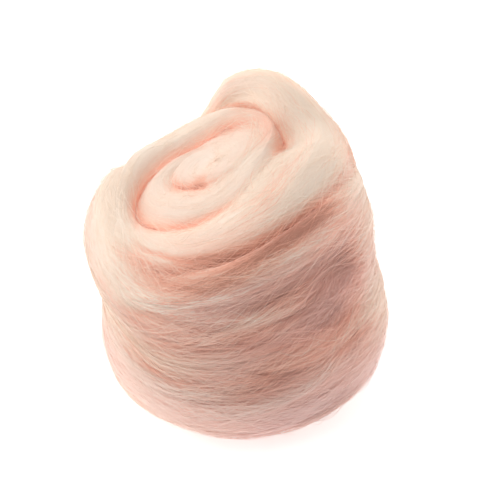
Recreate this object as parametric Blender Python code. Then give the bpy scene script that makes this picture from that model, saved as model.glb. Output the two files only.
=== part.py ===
"""A roll of wool roving, standing on end.

One length of soft carded wool is wound on itself from a tongue in the middle outwards. Seen from
above it is a spiral band: each turn fills the space between two turns of the same spiral groove,
with a rounded lip on top. Below the groove the turns cling together as one body with a round side
and a flat foot. The top slopes up to the right and ends in a high lobe at the back, and the last
turn is a thin wrap that ends on the right.

Sizes are in millimetres and degrees, and become metres in the mesh. +Z is up, the front is -Y, and
the origin is on the surface under the middle of the roll.
"""
from collections import namedtuple
from math import cos, exp, pi, radians, sin, sqrt

import bmesh
import bpy
from mathutils import Matrix, Vector

MM = 0.001

# The winding, as it is seen from above.
POLE = (-8.1, 8.5)            # middle of the tongue, about which the angles and radii are measured
CORE_RADIUS = 0.3             # half of the pinhole that the first turn leaves
GROOVE_WIDTH = 0.6            # between one turn and the next, where their lips end
GROOVE_DEPTH = 3.0            # from there down to where the turns cling together
LEAST_THICKNESS = 0.6
ANGLE_STEP = 6.0              # between sections; it divides a full turn, so that turns lie alongside

# The top, a sloping plane that each section rises above or sinks below.
TOP_HEIGHT = 62.5             # at the pole
TOP_SLOPE_RIGHT = 0.45
TOP_SLOPE_BACK = 0.12
LIP_POINTS = 11

# The body, which the wound top narrows and leans away from.
BODY_RADIUS = (37.6, 36.6)    # across, and front to back
FOOT_HEIGHT = 13.0            # of the rounding at the bottom edge
FOOT_SHARE = 0.69             # radius of the flat foot, as a share of the body's
FOOT_OFFSET = (-1.4, -0.8)    # the foot sits a little left of the body and in front of it
FOOT_OFFSET_HEIGHT = 26.0
SHOULDER_HEIGHT = 61.0        # mean height of the outer edge of the top
SHOULDER_SLOPE = 8.5
SHOULDER_LOW_SIDE = 205.0     # direction of its lowest point
SHOULDER_SHARE = 0.78         # share of that height at which the body has become the top's outline
SIDE_HEIGHTS = (33.0, 26.0, 19.0, 13.0, 8.0, 4.0, 1.5, 0.0)
UPPER_SIDE_POINTS = 1         # between those and the lip

# One row for each main section of the band. turn is the angle wound so far, anticlockwise from the
# right; radius is the groove outside the band; rise is the lip's height over the sloping top;
# inner_drop and outer_drop are how far the lip rounds down to the faces on either side of it.
Section = namedtuple("Section", "turn radius rise inner_drop outer_drop")
SECTIONS = [Section(*row) for row in (
    # the tongue in the middle
    (60, 2.0, 0.0, 0.1, 0.0),
    (105, 5.0, 0.0, 0.1, 0.0),
    (150, 9.2, -0.2, 0.1, 0.2),
    (180, 11.4, -0.4, 0.1, 0.8),
    (208, 9.4, -0.3, 0.1, 1.4),
    (233, 8.0, -0.2, 0.1, 1.4),
    (256, 7.5, 0.0, 0.1, 1.2),
    (278, 6.8, 0.0, 0.1, 0.4),
    (302, 6.4, 0.0, 0.1, 0.1),
    (328, 6.8, 0.0, 0.1, 0.1),
    (352, 8.8, 0.2, 0.1, 0.2),
    (375, 11.8, 0.3, 0.1, 0.3),
    # the inner body, round the tongue
    (398, 13.4, 0.3, 0.1, 0.6),
    (430, 11.8, 0.0, 0.0, 1.2),
    (462, 10.0, 0.0, 0.0, 2.2),
    (490, 11.2, -0.3, 0.1, 3.0),
    (512, 15.2, -0.3, 0.4, 3.0),
    (535, 19.6, -0.5, 0.8, 4.0),
    (558, 21.8, -0.5, 1.2, 4.2),
    (585, 21.2, 0.0, 1.4, 2.8),
    (610, 20.2, 0.0, 1.2, 2.8),
    (635, 18.2, 0.0, 0.5, 1.8),
    (660, 15.6, 0.1, 0.2, 0.6),
    (685, 14.2, 0.3, 0.1, 0.5),
    (705, 15.6, 0.4, 0.2, 1.2),
    (725, 18.2, 0.4, 0.3, 6.0),
    # the back ridge
    (752, 19.0, 0.6, 0.8, 7.5),
    (778, 19.6, 1.2, 1.8, 7.0),
    (802, 20.2, 1.8, 3.4, 6.0),
    (826, 20.6, 1.5, 4.4, 6.0),
    (850, 22.2, 0.9, 4.9, 6.0),
    (875, 25.4, 1.8, 5.8, 1.6),
    # the left lobe and the front lip
    (900, 26.0, 1.8, 6.7, 0.0),
    (922, 27.0, 1.2, 6.2, 0.0),
    (940, 29.4, 0.8, 4.5, 0.8),
    (957, 32.6, 0.4, 3.3, 4.0),
    (975, 34.4, 0.3, 2.8, 6.6),
    (1005, 34.8, 0.0, 1.4, 6.8),
    (1030, 34.2, -0.5, 0.4, 6.8),
    (1050, 34.4, -1.1, 0.2, 7.6),
    (1066, 35.4, -1.8, 0.4, 9.0),
    (1086, 35.4, -3.6, 3.6, 11.0),
    # the high lobe at the back right, and its end tucked behind the back ridge
    (1108, 31.4, 0.8, 7.5, 10.0),
    (1130, 28.6, 5.8, 7.5, 8.5),
    (1150, 26.2, 7.0, 7.5, 7.0),
    (1165, 25.0, 5.2, 6.5, 6.0),
    (1178, 24.6, -2.6, 4.5, 6.0),
    (1192, 25.0, -9.0, 2.0, 7.0),
    # the thin outer wrap
    (1218, 27.6, -8.0, 1.6, 8.0),
    (1232, 29.8, -2.6, 1.0, 8.5),
    (1246, 31.9, 1.8, 0.0, 10.0),
    (1262, 33.8, 1.8, 0.0, 12.0),
    (1282, 35.4, 1.2, 0.0, 14.5),
    (1300, 37.2, 0.6, 0.3, 16.5),
    (1316, 39.0, -1.2, 0.8, 18.5),
    (1332, 40.4, -2.4, 1.0, 19.5),
    (1350, 41.2, -2.6, 1.0, 21.0),
    (1380, 40.6, -3.6, 1.0, 21.0),
    (1405, 39.5, -8.0, 1.0, 18.0),
    (1425, 38.8, -14.0, 1.0, 15.0),
    (1446, 37.3, -21.0, 1.0, 12.0),
)]

# Values that change along the winding, in straight runs.
Stage = namedtuple("Stage", "turn value")


def stages(*rows):
    return [Stage(*row) for row in rows]


# Where the crest of the lip lies across the band, from its inner face (0) to its outer face (1).
CREST_SHARE = stages(
    (850, 0.5), (875, 0.85), (900, 1.0), (925, 0.98), (940, 0.8), (960, 0.45), (1000, 0.36), (1040, 0.5),
    (1080, 0.5), (1180, 0.5), (1230, 0.3), (1246, 0.02), (1290, 0.0), (1310, 0.06), (1330, 0.14),
)
LEAST_CREST_DISTANCE = 0.4    # of the crest from either face

# How far each half of the lip slopes into its groove (1) instead of being round down to it (0).
INNER_SOFTNESS = stages((1180, 0.75), (1210, 0.0))
OUTER_SOFTNESS = stages((780, 0.75), (830, 0.0), (868, 0.0), (890, 1.0), (945, 1.0), (970, 0.0))

# How far the lip follows the sloping top across its width, at its crest (0 is level) and beyond it.
CREST_FOLLOWS = stages((1100, 1.0), (1150, 0.0), (1232, 0.0), (1250, 1.0))
REST_FOLLOWS = stages((640, 1.0), (730, 0.0))

# Broad hollows (-) and swells (+) of the body: direction, height, reach either way, and depth.
Swell = namedtuple("Swell", "direction height reach_round reach_up depth")
SWELLS = [Swell(*row) for row in (
    (186, 27, 45, 8, -2.0),   # waist under the left lobe
    (325, 31, 22, 7, -1.6),   # hollow at the front right, where the fibres part
    (350, 22, 40, 10, 1.2),   # belly at the lower right
    (0, 48, 40, 13, 2.2),     # full right flank
)]

WOOL_COLOUR = (0.84, 0.64, 0.53)
WOOL_ROUGHNESS = 0.95


def clamp(value, low=0.0, high=1.0):
    return min(max(value, low), high)


def ease(t):
    """Run from 0 to 1 with level ends."""
    t = clamp(t)
    return t * t * (3.0 - 2.0 * t)


def slope_at(rows, column, index):
    """Slope of a column at a row, held back at a peak so that the curve never overshoots."""
    def run(first):
        here, there = rows[first], rows[first + 1]
        width = there.turn - here.turn
        return (getattr(there, column) - getattr(here, column)) / width, width

    if index == 0:
        return run(0)[0]
    if index == len(rows) - 1:
        return run(index - 1)[0]
    before, before_width = run(index - 1)
    after, after_width = run(index)
    mean = (before * after_width + after * before_width) / (before_width + after_width)
    if before * after <= 0.0:
        return 0.35 * mean
    limit = 3.0 * min(abs(before), abs(after))
    return clamp(mean, -limit, limit)


def along(column, turn):
    """Value of a column of SECTIONS at any turn, on a smooth curve through the rows."""
    rows = SECTIONS
    turn = clamp(turn, rows[0].turn, rows[-1].turn)
    index = max(i for i in range(len(rows) - 1) if rows[i].turn <= turn)
    here, there = rows[index], rows[index + 1]
    width = there.turn - here.turn
    t = (turn - here.turn) / width
    return (getattr(here, column) * (1 + 2 * t) * (1 - t) ** 2
            + slope_at(rows, column, index) * width * t * (1 - t) ** 2
            + getattr(there, column) * t * t * (3 - 2 * t)
            + slope_at(rows, column, index + 1) * width * t * t * (t - 1))


def groove(turn):
    """Radius of the groove outside the band."""
    return CORE_RADIUS if turn < SECTIONS[0].turn else along("radius", turn)


def value_at(rows, turn):
    """Value of a list of stages at any turn."""
    if turn <= rows[0].turn:
        return rows[0].value
    for here, there in zip(rows, rows[1:]):
        if turn <= there.turn:
            t = (turn - here.turn) / (there.turn - here.turn)
            return here.value + (there.value - here.value) * t
    return rows[-1].value


def outline(direction):
    """Radius of the roll's outside at its top, in a direction from the pole."""
    first = SECTIONS[-1].turn - 360.0
    return groove(first + (direction - first) % 360.0)


def swell(direction, height):
    """Share by which hollows and swells change the body's radius there."""
    depth = 0.0
    for row in SWELLS:
        aside = ((direction - row.direction + 180.0) % 360.0 - 180.0) / row.reach_round
        above = (height - row.height) / row.reach_up
        depth += row.depth * exp(-aside * aside - above * above)
    return depth / BODY_RADIUS[0]


def foot_profile(height):
    """Share of the body's radius at a height: full, and rounded in towards the foot."""
    below = clamp(1.0 - height / FOOT_HEIGHT)
    return FOOT_SHARE + (1.0 - FOOT_SHARE) * sqrt(1.0 - below * below)


def place(turn, radius, height):
    """Point of the roll for a radius from the pole, blended from the round body to the top."""
    across, back = cos(radians(turn)), sin(radians(turn))
    change = swell(turn, height)
    share = radius / outline(turn) * (foot_profile(height) + change)
    foot = clamp(1.0 - height / FOOT_OFFSET_HEIGHT) ** 2
    body_x = BODY_RADIUS[0] * share * across + FOOT_OFFSET[0] * foot
    body_y = BODY_RADIUS[1] * share * back + FOOT_OFFSET[1] * foot
    top_x = POLE[0] + radius * (1.0 + change) * across
    top_y = POLE[1] + radius * (1.0 + change) * back
    shoulder = SHOULDER_HEIGHT - SHOULDER_SLOPE * cos(radians(turn - SHOULDER_LOW_SIDE))
    t = clamp((height - FOOT_HEIGHT) / (SHOULDER_SHARE * shoulder - FOOT_HEIGHT))
    blend = 0.5 * t + 0.5 * ease(t)
    return (body_x + (top_x - body_x) * blend, body_y + (top_y - body_y) * blend, height)


def slope_at_turn(turn):
    """Slope of the sloping top, outwards from the pole."""
    return TOP_SLOPE_RIGHT * cos(radians(turn)) + TOP_SLOPE_BACK * sin(radians(turn))


def follow_slope(turn, away, beyond):
    """How far the lip's surface leaves its crest's height, at a distance away from the crest.

    beyond is the share of the outer half that lies between. The flat turns in the middle follow the
    sloping top right across, and the round lips outside them only as far as the crest and then less.
    """
    rest = value_at(REST_FOLLOWS, turn)
    share = rest + (1.0 - rest) * (1.0 - beyond) ** 2
    return value_at(CREST_FOLLOWS, turn) * share * slope_at_turn(turn) * away


def lip(turn):
    """Radii and heights over the lip of the band, from its inner face to its outer face."""
    outermost = turn > SECTIONS[-1].turn - 360.0
    inner = groove(turn - 360.0) + GROOVE_WIDTH / 2
    outer = max(groove(turn) - (0.0 if outermost else GROOVE_WIDTH / 2), inner + LEAST_THICKNESS)
    nearest = min(LEAST_CREST_DISTANCE, (outer - inner) / 2)
    crest = clamp(inner + (outer - inner) * value_at(CREST_SHARE, turn), inner + nearest, outer - nearest)
    top = TOP_HEIGHT + slope_at_turn(turn) * crest + along("rise", turn)
    halves = (
        (crest - inner, along("inner_drop", turn), value_at(INNER_SOFTNESS, turn)),
        (outer - crest, along("outer_drop", turn), value_at(OUTER_SOFTNESS, turn)),
    )
    points = []
    for step in range(LIP_POINTS):
        q = -cos(pi * step / (LIP_POINTS - 1))
        width, drop, softness = halves[0] if q < 0.0 else halves[1]
        round_fall = 1.0 - sqrt(max(0.0, 1.0 - q * q))
        fall = round_fall + softness * (q * q - round_fall)
        height = top - drop * fall + follow_slope(turn, q * width, clamp(q))
        points.append((crest + q * width, height))
    return points


def groove_bottom(turn):
    """Height of the groove's bottom outside the band, below the lips on both of its sides."""
    height = lip(turn)[-1][1]
    if turn + 360.0 <= SECTIONS[-1].turn:
        height = min(height, lip(turn + 360.0)[0][1])
    return height - GROOVE_DEPTH


def side_heights(top):
    """Heights down the roll's side, below its top point."""
    steps = UPPER_SIDE_POINTS + 1
    upper = [top + (SIDE_HEIGHTS[0] - top) * step / steps for step in range(1, steps)]
    return upper + list(SIDE_HEIGHTS)


def make_material(name, colour, roughness):
    material = bpy.data.materials.new(name)
    material.use_nodes = True
    shader = material.node_tree.nodes["Principled BSDF"]
    shader.inputs["Base Color"].default_value = (*colour, 1.0)
    shader.inputs["Roughness"].default_value = roughness
    shader.inputs["Metallic"].default_value = 0.0
    return material


def add_face(body, corners):
    """Add a face, leaving out corners that have come together."""
    corners = list(dict.fromkeys(corners))
    if len(corners) > 2:
        body.faces.new(corners)


def add_strip(body, line, next_line):
    for i in range(len(line) - 1):
        add_face(body, (line[i], line[i + 1], next_line[i + 1], next_line[i]))


def add_wound_top(body, new_point):
    """Lay the band's lips turn by turn, each from the groove inside it to the groove outside it.

    Returns the points at the top of the roll's side, once round.
    """
    first, last = SECTIONS[0].turn, SECTIONS[-1].turn
    per_turn = round(360.0 / ANGLE_STEP)
    count = round((last - first) / ANGLE_STEP)
    pole = new_point(first, 0.0, TOP_HEIGHT - GROOVE_DEPTH)
    grooves, lines = [], []
    for i in range(count + 1):
        turn = first + ANGLE_STEP * i
        inside = grooves[i - per_turn] if i >= per_turn else pole
        if i == count:
            outside = inside
        else:
            outside = new_point(turn, groove(turn), groove_bottom(turn))
        grooves.append(outside)
        lines.append([inside] + [new_point(turn, *point) for point in lip(turn)] + [outside])
    for line, next_line in zip(lines, lines[1:]):
        add_strip(body, line, next_line)
    add_face(body, lines[0])
    add_face(body, lines[-1])
    return grooves[count - per_turn:count]


def add_side(body, new_point, rim):
    """Bring the side down from the top's rim to the foot, and close it."""
    start = SECTIONS[-1].turn - 360.0
    columns = []
    for i, top in enumerate(rim):
        turn = start + ANGLE_STEP * i
        heights = side_heights(groove_bottom(turn))
        columns.append([top] + [new_point(turn, groove(turn), height) for height in heights])
    for column, next_column in zip(columns, columns[1:] + columns[:1]):
        add_strip(body, column, next_column)
    add_face(body, [column[-1] for column in columns])


def make_wool_roll():
    body = bmesh.new()

    def new_point(turn, radius, height):
        return body.verts.new(place(turn, radius, height))

    rim = add_wound_top(body, new_point)
    add_side(body, new_point, rim)
    bmesh.ops.recalc_face_normals(body, faces=body.faces[:])
    bmesh.ops.triangulate(body, faces=body.faces[:])

    mesh = bpy.data.meshes.new("wool_roll")
    body.to_mesh(mesh)
    body.free()
    centre_on_origin(mesh)
    mesh.shade_smooth()
    mesh.materials.append(make_material("wool", WOOL_COLOUR, WOOL_ROUGHNESS))
    roll = bpy.data.objects.new("wool_roll", mesh)
    bpy.context.scene.collection.objects.link(roll)
    return roll


def centre_on_origin(mesh):
    """Put the middle of the roll's box over the origin, and turn millimetres into metres."""
    xs = [vertex.co.x for vertex in mesh.vertices]
    ys = [vertex.co.y for vertex in mesh.vertices]
    middle = Vector(((min(xs) + max(xs)) / 2, (min(ys) + max(ys)) / 2, 0.0))
    mesh.transform(Matrix.Scale(MM, 4) @ Matrix.Translation(-middle))


for old in list(bpy.data.objects):
    bpy.data.objects.remove(old, do_unlink=True)
make_wool_roll()
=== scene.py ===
"""The look of a roll of wool roving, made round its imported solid.

The roll's solid is one wound band. Here the same band is made finely, with the ridges and hollows
of combed fibres, and covered with loose fibres, wisps and stray hairs that lie along the winding.
Sizes are in millimetres and degrees until the meshes are made.
"""

import bmesh
import bpy
import numpy as np
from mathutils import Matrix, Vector


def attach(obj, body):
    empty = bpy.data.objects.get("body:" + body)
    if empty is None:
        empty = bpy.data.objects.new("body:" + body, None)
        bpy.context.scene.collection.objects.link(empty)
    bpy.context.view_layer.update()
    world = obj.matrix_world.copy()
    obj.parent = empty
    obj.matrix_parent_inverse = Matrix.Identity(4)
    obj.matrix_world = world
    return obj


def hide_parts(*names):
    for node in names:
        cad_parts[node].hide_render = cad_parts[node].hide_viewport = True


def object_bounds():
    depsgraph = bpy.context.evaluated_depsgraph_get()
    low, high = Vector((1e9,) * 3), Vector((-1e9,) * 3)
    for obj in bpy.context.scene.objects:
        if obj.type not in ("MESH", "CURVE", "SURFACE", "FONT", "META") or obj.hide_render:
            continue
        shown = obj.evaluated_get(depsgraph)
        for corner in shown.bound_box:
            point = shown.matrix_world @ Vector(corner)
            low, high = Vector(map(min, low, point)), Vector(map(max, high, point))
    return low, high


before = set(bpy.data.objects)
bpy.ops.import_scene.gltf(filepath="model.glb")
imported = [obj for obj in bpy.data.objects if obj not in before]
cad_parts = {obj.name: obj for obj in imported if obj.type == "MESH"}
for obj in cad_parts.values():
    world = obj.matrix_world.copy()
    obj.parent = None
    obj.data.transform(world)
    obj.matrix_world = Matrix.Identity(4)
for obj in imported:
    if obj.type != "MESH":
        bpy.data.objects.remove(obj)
cad_low, cad_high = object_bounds()

MM = 0.001

# ---- the winding
# The solid's, but for the eye, which drops up to a millimetre deeper here.
POLE = (-8.1, 8.5)  # middle of the tongue, about which the angles and radii are measured
CORE_RADIUS = 0.3
SKIN_OVERLAP = 0.3  # of one turn and the next, where their wool clings together
LEAST_THICKNESS = 0.6

TOP_HEIGHT = 62.5
TOP_SLOPE_RIGHT = 0.45
TOP_SLOPE_BACK = 0.12

BODY_RADIUS = (37.6, 36.6)
FOOT_HEIGHT = 13.0
FOOT_SHARE = 0.69
FOOT_OFFSET = (-1.4, -0.8)
FOOT_OFFSET_HEIGHT = 26.0
SHOULDER_HEIGHT = 61.0
SHOULDER_SLOPE = 8.5
SHOULDER_LOW_SIDE = 205.0
SHOULDER_SHARE = 0.78

# turn, groove radius, rise over the sloping top, drop to the inner face, drop to the outer face
TURN, RADIUS, RISE, INNER_DROP, OUTER_DROP = range(5)
SECTIONS = np.array((
    # the tongue in the middle
    (60, 2, 0, 0.1, 0),
    (105, 5, 0, 0.1, 0),
    (150, 9.2, -0.2, 0.1, 0.2),
    (180, 11.4, -0.4, 0.1, 1),
    (208, 9.4, -0.3, 0.1, 2.2),
    (233, 8, -0.2, 0.1, 2.2),
    (256, 7.5, 0, 0.1, 1.7),
    (278, 6.8, 0, 0.1, 0.4),
    (302, 6.4, 0, 0.1, 0.1),
    (328, 6.8, 0, 0.1, 0.1),
    (352, 8.8, 0.2, 0.1, 0.2),
    (375, 11.8, 0.3, 0.1, 0.3),
    # the inner body, round the tongue
    (398, 13.4, 0.3, 0.1, 0.6),
    (430, 11.8, 0, 0, 1.2),
    (462, 10, 0, 0, 2.2),
    (490, 11.2, -0.3, 0.1, 3),
    (512, 15.2, -0.3, 0.4, 3),
    (535, 19.6, -0.5, 1, 4),
    (558, 21.8, -0.5, 1.8, 4.2),
    (585, 21.2, 0, 2, 2.8),
    (610, 20.2, 0, 1.6, 2.8),
    (635, 18.2, 0, 0.5, 1.8),
    (660, 15.6, 0.1, 0.2, 0.6),
    (685, 14.2, 0.3, 0.1, 0.5),
    (705, 15.6, 0.4, 0.2, 1.2),
    (725, 18.2, 0.4, 0.3, 6),
    # the back ridge
    (752, 19, 0.6, 0.8, 7.5),
    (778, 19.6, 1.2, 1.8, 7),
    (802, 20.2, 1.8, 3.4, 6),
    (826, 20.6, 1.5, 4.4, 6),
    (850, 22.2, 0.9, 4.9, 6),
    (875, 25.4, 1.8, 5.8, 1.6),
    # the left lobe and the front lip
    (900, 26, 1.8, 6.7, 0),
    (922, 27, 1.2, 6.2, 0),
    (940, 29.4, 0.8, 4.5, 0.8),
    (957, 32.6, 0.4, 3.3, 4),
    (975, 34.4, 0.3, 2.8, 6.6),
    (1005, 34.8, 0, 1.4, 6.8),
    (1030, 34.2, -0.5, 0.4, 6.8),
    (1050, 34.4, -1.1, 0.2, 7.6),
    (1066, 35.4, -1.8, 0.4, 9),
    (1086, 35.4, -3.6, 3.6, 11),
    # the high lobe at the back right, and its end tucked behind the back ridge
    (1108, 31.4, 0.8, 7.5, 10),
    (1130, 28.6, 5.8, 7.5, 8.5),
    (1150, 26.2, 7, 7.5, 7),
    (1165, 25, 5.2, 6.5, 6),
    (1178, 24.6, -2.6, 4.5, 6),
    (1192, 25, -9, 2, 7),
    # the thin outer wrap
    (1218, 27.6, -8, 1.6, 8),
    (1232, 29.8, -2.6, 1, 8.5),
    (1246, 31.9, 1.8, 0, 10),
    (1262, 33.8, 1.8, 0, 12),
    (1282, 35.4, 1.2, 0, 14.5),
    (1300, 37.2, 0.6, 0.3, 16.5),
    (1316, 39, -1.2, 0.8, 18.5),
    (1332, 40.4, -2.4, 1, 19.5),
    (1350, 41.2, -2.6, 1, 21),
    (1380, 40.6, -3.6, 1, 21),
    (1405, 39.5, -8, 1, 18),
    (1425, 38.8, -14, 1, 15),
    (1446, 37.3, -21, 1, 12),
))
FIRST_TURN, LAST_TURN = SECTIONS[0, TURN], SECTIONS[-1, TURN]
OUTER_TURN = LAST_TURN - 360.0  # from here on the band's outer face is the roll's outside

# turn, share of the way from the band's inner face to its outer face
CRESTS = np.array((
    (850, 0.5), (875, 0.85), (900, 1), (925, 0.98), (940, 0.8), (960, 0.45), (1000, 0.36), (1040, 0.5),
    (1080, 0.5), (1180, 0.5), (1230, 0.3), (1246, 0.02), (1290, 0), (1310, 0.06), (1330, 0.14),
))

# direction, height, reach round, reach up, how far it swells (+) or sinks (-)
SWELLS = np.array((
    (186, 27, 45, 8, -2),  # waist under the left lobe
    (325, 31, 22, 7, -1.6),  # hollow at the front right, where the fibres part
    (350, 22, 40, 10, 1.2),  # belly at the lower right
    (0, 48, 40, 13, 2.2),  # full right flank
))

# Creases (-) and ridges (+) of the side, listed one by one: depth, how much paler (+) or darker
# (-) the wool is painted there, half width, and a line of (turn, height). The darker tints are
# painted shade in the creases and hollows; the paler ones are paler wisps and streaks on the
# ridges, in part painted light.
SIDE_CREASES = (
    # the wrap's edge, with the shade over it and the wisps under it
    (-0.6, -0.9, 2.2, ((1350, 56), (1371, 60.5), (1383, 62.6), (1396, 63.8), (1408, 63.4))),
    (0, -0.35, 4, ((1380, 65.5), (1396, 67), (1410, 66.5))),
    (0.6, 0.5, 2.4, ((1364, 55.5), (1377, 58.5), (1390, 58.8), (1408, 56.8))),
    (0.4, 0.5, 1.2, ((1370, 52.5), (1384, 55), (1400, 54.4))),
    # under the lip in front
    (-0.7, -0.4, 2.8, ((1320, 47.6), (1335, 49.5), (1347, 51), (1360, 53))),
    (-0.6, -0.6, 0.7, ((1288, 48.3), (1305, 48.9), (1317, 49.2), (1327, 49.5), (1334, 49.9))),
    (0.8, 0.45, 1.5, ((1304, 38), (1320, 43.5), (1336, 47.4), (1350, 49), (1362, 50.3))),
    (-0.5, -0.5, 0.9, ((1338, 44.8), (1348, 46), (1356, 46.2))),
    (-0.7, -0.8, 0.9, ((1361, 45.6), (1371, 46.6), (1381, 47.6))),
    (-0.6, -0.7, 0.8, ((1364, 39.6), (1376, 40.4), (1386, 41.4))),
    (0.6, 0.5, 1.8, ((1342, 42), (1356, 42.8), (1372, 43.2), (1384, 44.2))),
    # the hollow at the right, its pocket, and the brown shade beside it
    (-0.9, -0.9, 1.5, ((1386, 48.2), (1394, 46.4), (1403, 43.8))),
    (-2, -1.3, 5.2, ((1390, 51.5), (1404, 46.5), (1415, 40))),
    (-0.3, -0.45, 3.4, ((1352, 36.5), (1365, 35), (1378, 33))),
    (-0.8, -1, 3, ((1392, 49), (1403, 45.5), (1412, 42))),
    (-0.9, -0.8, 5.5, ((1378, 38.5), (1392, 36), (1408, 31))),
    (0, -0.65, 8, ((1378, 45), (1390, 43), (1404, 38))),
    (-0.5, -0.5, 1, ((1408, 52), (1414, 50.6))),
    # the pale arc low down, and the streaks round it
    (0.8, 0.55, 1.5, ((1328, 12.4), (1339, 13.8), (1354, 15.9), (1369, 19.1), (1379, 20.2), (1391, 22.5),
                      (1406, 22.2))),
    (0.5, 0.4, 1.5, ((1392, 26.8), (1408, 27.8), (1426, 27.4))),
    (-0.6, -0.5, 1.3, ((1389, 24.2), (1402, 25.2), (1416, 24.8))),
    (-0.6, -0.5, 1.4, ((1356, 25.4), (1368, 24.2), (1380, 24))),
    (-0.5, -0.35, 1.8, ((1345, 19.4), (1360, 20.4), (1374, 22.4))),
    # low on the left, and under the left lobe
    (-0.7, -0.5, 1, ((1306, 25.4), (1311, 21.8), (1322, 20.6), (1336, 21.6))),
    (0.5, 0.35, 0.9, ((1316, 18), (1330, 19.6), (1346, 20.8))),
    (0.5, 0.3, 1.1, ((1310, 29), (1322, 26.4), (1340, 29), (1354, 31))),
    (-0.6, -0.4, 0.9, ((1316, 32), (1330, 33), (1348, 34.6), (1362, 35.4))),
    (-0.6, -0.5, 0.9, ((1310, 35.6), (1320, 38.4), (1332, 40.6))),
    (-0.5, -0.3, 1, ((1290, 34), (1310, 34.4), (1326, 35.4))),
    # where the fibres fan out at the right
    (-0.6, -0.4, 1, ((1384, 33), (1396, 34), (1406, 37))),
    (0.5, 0.25, 1.2, ((1376, 29), (1392, 31), (1404, 34.5))),
)

# The same across the lips, by lines of (turn, share of the lip from its inner end). Their tints
# are painted shade in the eye, by the grooves and towards the front lip's outer edge, and painted
# light on the high lobe.
LIP_CREASES = (
    # the left lobe and the front lip, out to the wrap
    (-0.5, -0.7, 0.8, ((937, 0.90), (950, 0.76), (963, 0.66), (983, 0.71), (1000, 0.76))),
    (-0.2, -0.25, 0.8, ((926, 0.47), (938, 0.55))),
    (0, -0.4, 5, ((950, 0.50), (970, 0.46), (990, 0.52), (1020, 0.66), (1055, 0.72))),
    (-0.3, -0.6, 4, ((962, 0.86), (978, 0.78), (998, 0.80), (1025, 0.88), (1060, 0.94))),
    (-1, -1.1, 2.8, ((975, 0.88), (1000, 0.92), (1035, 0.95), (1062, 0.97))),
    # the eye
    (0, -0.8, 3.2, ((212, 0.78), (233, 0.72), (252, 0.70))),
    (-0.25, -0.9, 1.3, ((184, 0.97), (205, 0.96), (232, 0.95), (258, 0.88))),
    # by the back groove, round the tongue, and by the left and front grooves
    (0, -0.8, 4.2, ((712, 0.78), (722, 0.58), (734, 0.42), (752, 0.36), (778, 0.50),
                      (800, 0.75))),
    (0, -0.3, 2.2, ((385, 0.92), (413, 0.88), (440, 0.90), (462, 0.86))),
    (0, -0.6, 3.4, ((462, 0.70), (490, 0.78), (515, 0.86))),
    (0, -0.4, 2.6, ((590, 0.90), (615, 0.92), (640, 0.94))),
    # the high lobe
    (0, 0.4, 5, ((1128, 0.10), (1148, 0.12), (1166, 0.22))),
)


def ease(t):
    t = np.clip(t, 0.0, 1.0)
    return t * t * (3.0 - 2.0 * t)


def climb(value, start, end):
    """0 up to the start, 1 from the end on, and a smooth climb between. The end may be lower."""
    return ease((value - start) / (end - start))


def look_up(table, at):
    return np.interp(at, table[:, 0], table[:, 1])


def unit(vectors):
    """The same directions, one long."""
    return vectors / np.maximum(np.linalg.norm(vectors, axis=-1, keepdims=True), 1e-9)


def column_slopes(turns, values):
    """Slope of a column at each row, held back at a peak so that the curve never overshoots."""
    widths = np.diff(turns)
    runs = np.diff(values) / widths
    slopes = np.empty_like(values)
    slopes[0], slopes[-1] = runs[0], runs[-1]
    before, after = runs[:-1], runs[1:]
    mean = (before * widths[1:] + after * widths[:-1]) / (widths[1:] + widths[:-1])
    limit = 3.0 * np.minimum(abs(before), abs(after))
    slopes[1:-1] = np.where(before * after <= 0.0, 0.35 * mean, np.clip(mean, -limit, limit))
    return slopes


def along(column, turn):
    """Value of a column of SECTIONS at any turns, on a smooth curve through the rows."""
    turns, values = SECTIONS[:, TURN], SECTIONS[:, column]
    slopes = column_slopes(turns, values)
    turn = np.clip(np.asarray(turn, float), turns[0], turns[-1])
    row = np.clip(np.searchsorted(turns, turn, side="right") - 1, 0, len(turns) - 2)
    width = turns[row + 1] - turns[row]
    t = (turn - turns[row]) / width
    return (values[row] * (1 + 2 * t) * (1 - t) ** 2 + slopes[row] * width * t * (1 - t) ** 2
            + values[row + 1] * t * t * (3 - 2 * t) + slopes[row + 1] * width * t * t * (t - 1))


def groove(turn):
    return np.where(np.asarray(turn) < FIRST_TURN, CORE_RADIUS, along(RADIUS, turn))


def outline(direction):
    return groove(OUTER_TURN + np.mod(direction - OUTER_TURN, 360.0))


def swell(direction, height):
    swollen = 0.0 * (direction + height)
    for row_direction, row_height, reach_round, reach_up, amount in SWELLS:
        aside = (np.mod(direction - row_direction + 180.0, 360.0) - 180.0) / reach_round
        above = (height - row_height) / reach_up
        swollen = swollen + amount * np.exp(-aside * aside - above * above)
    return swollen / BODY_RADIUS[0]


def foot_profile(height):
    below = np.clip(1.0 - height / FOOT_HEIGHT, 0.0, 1.0)
    return FOOT_SHARE + (1.0 - FOOT_SHARE) * np.sqrt(1.0 - below * below)


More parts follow.
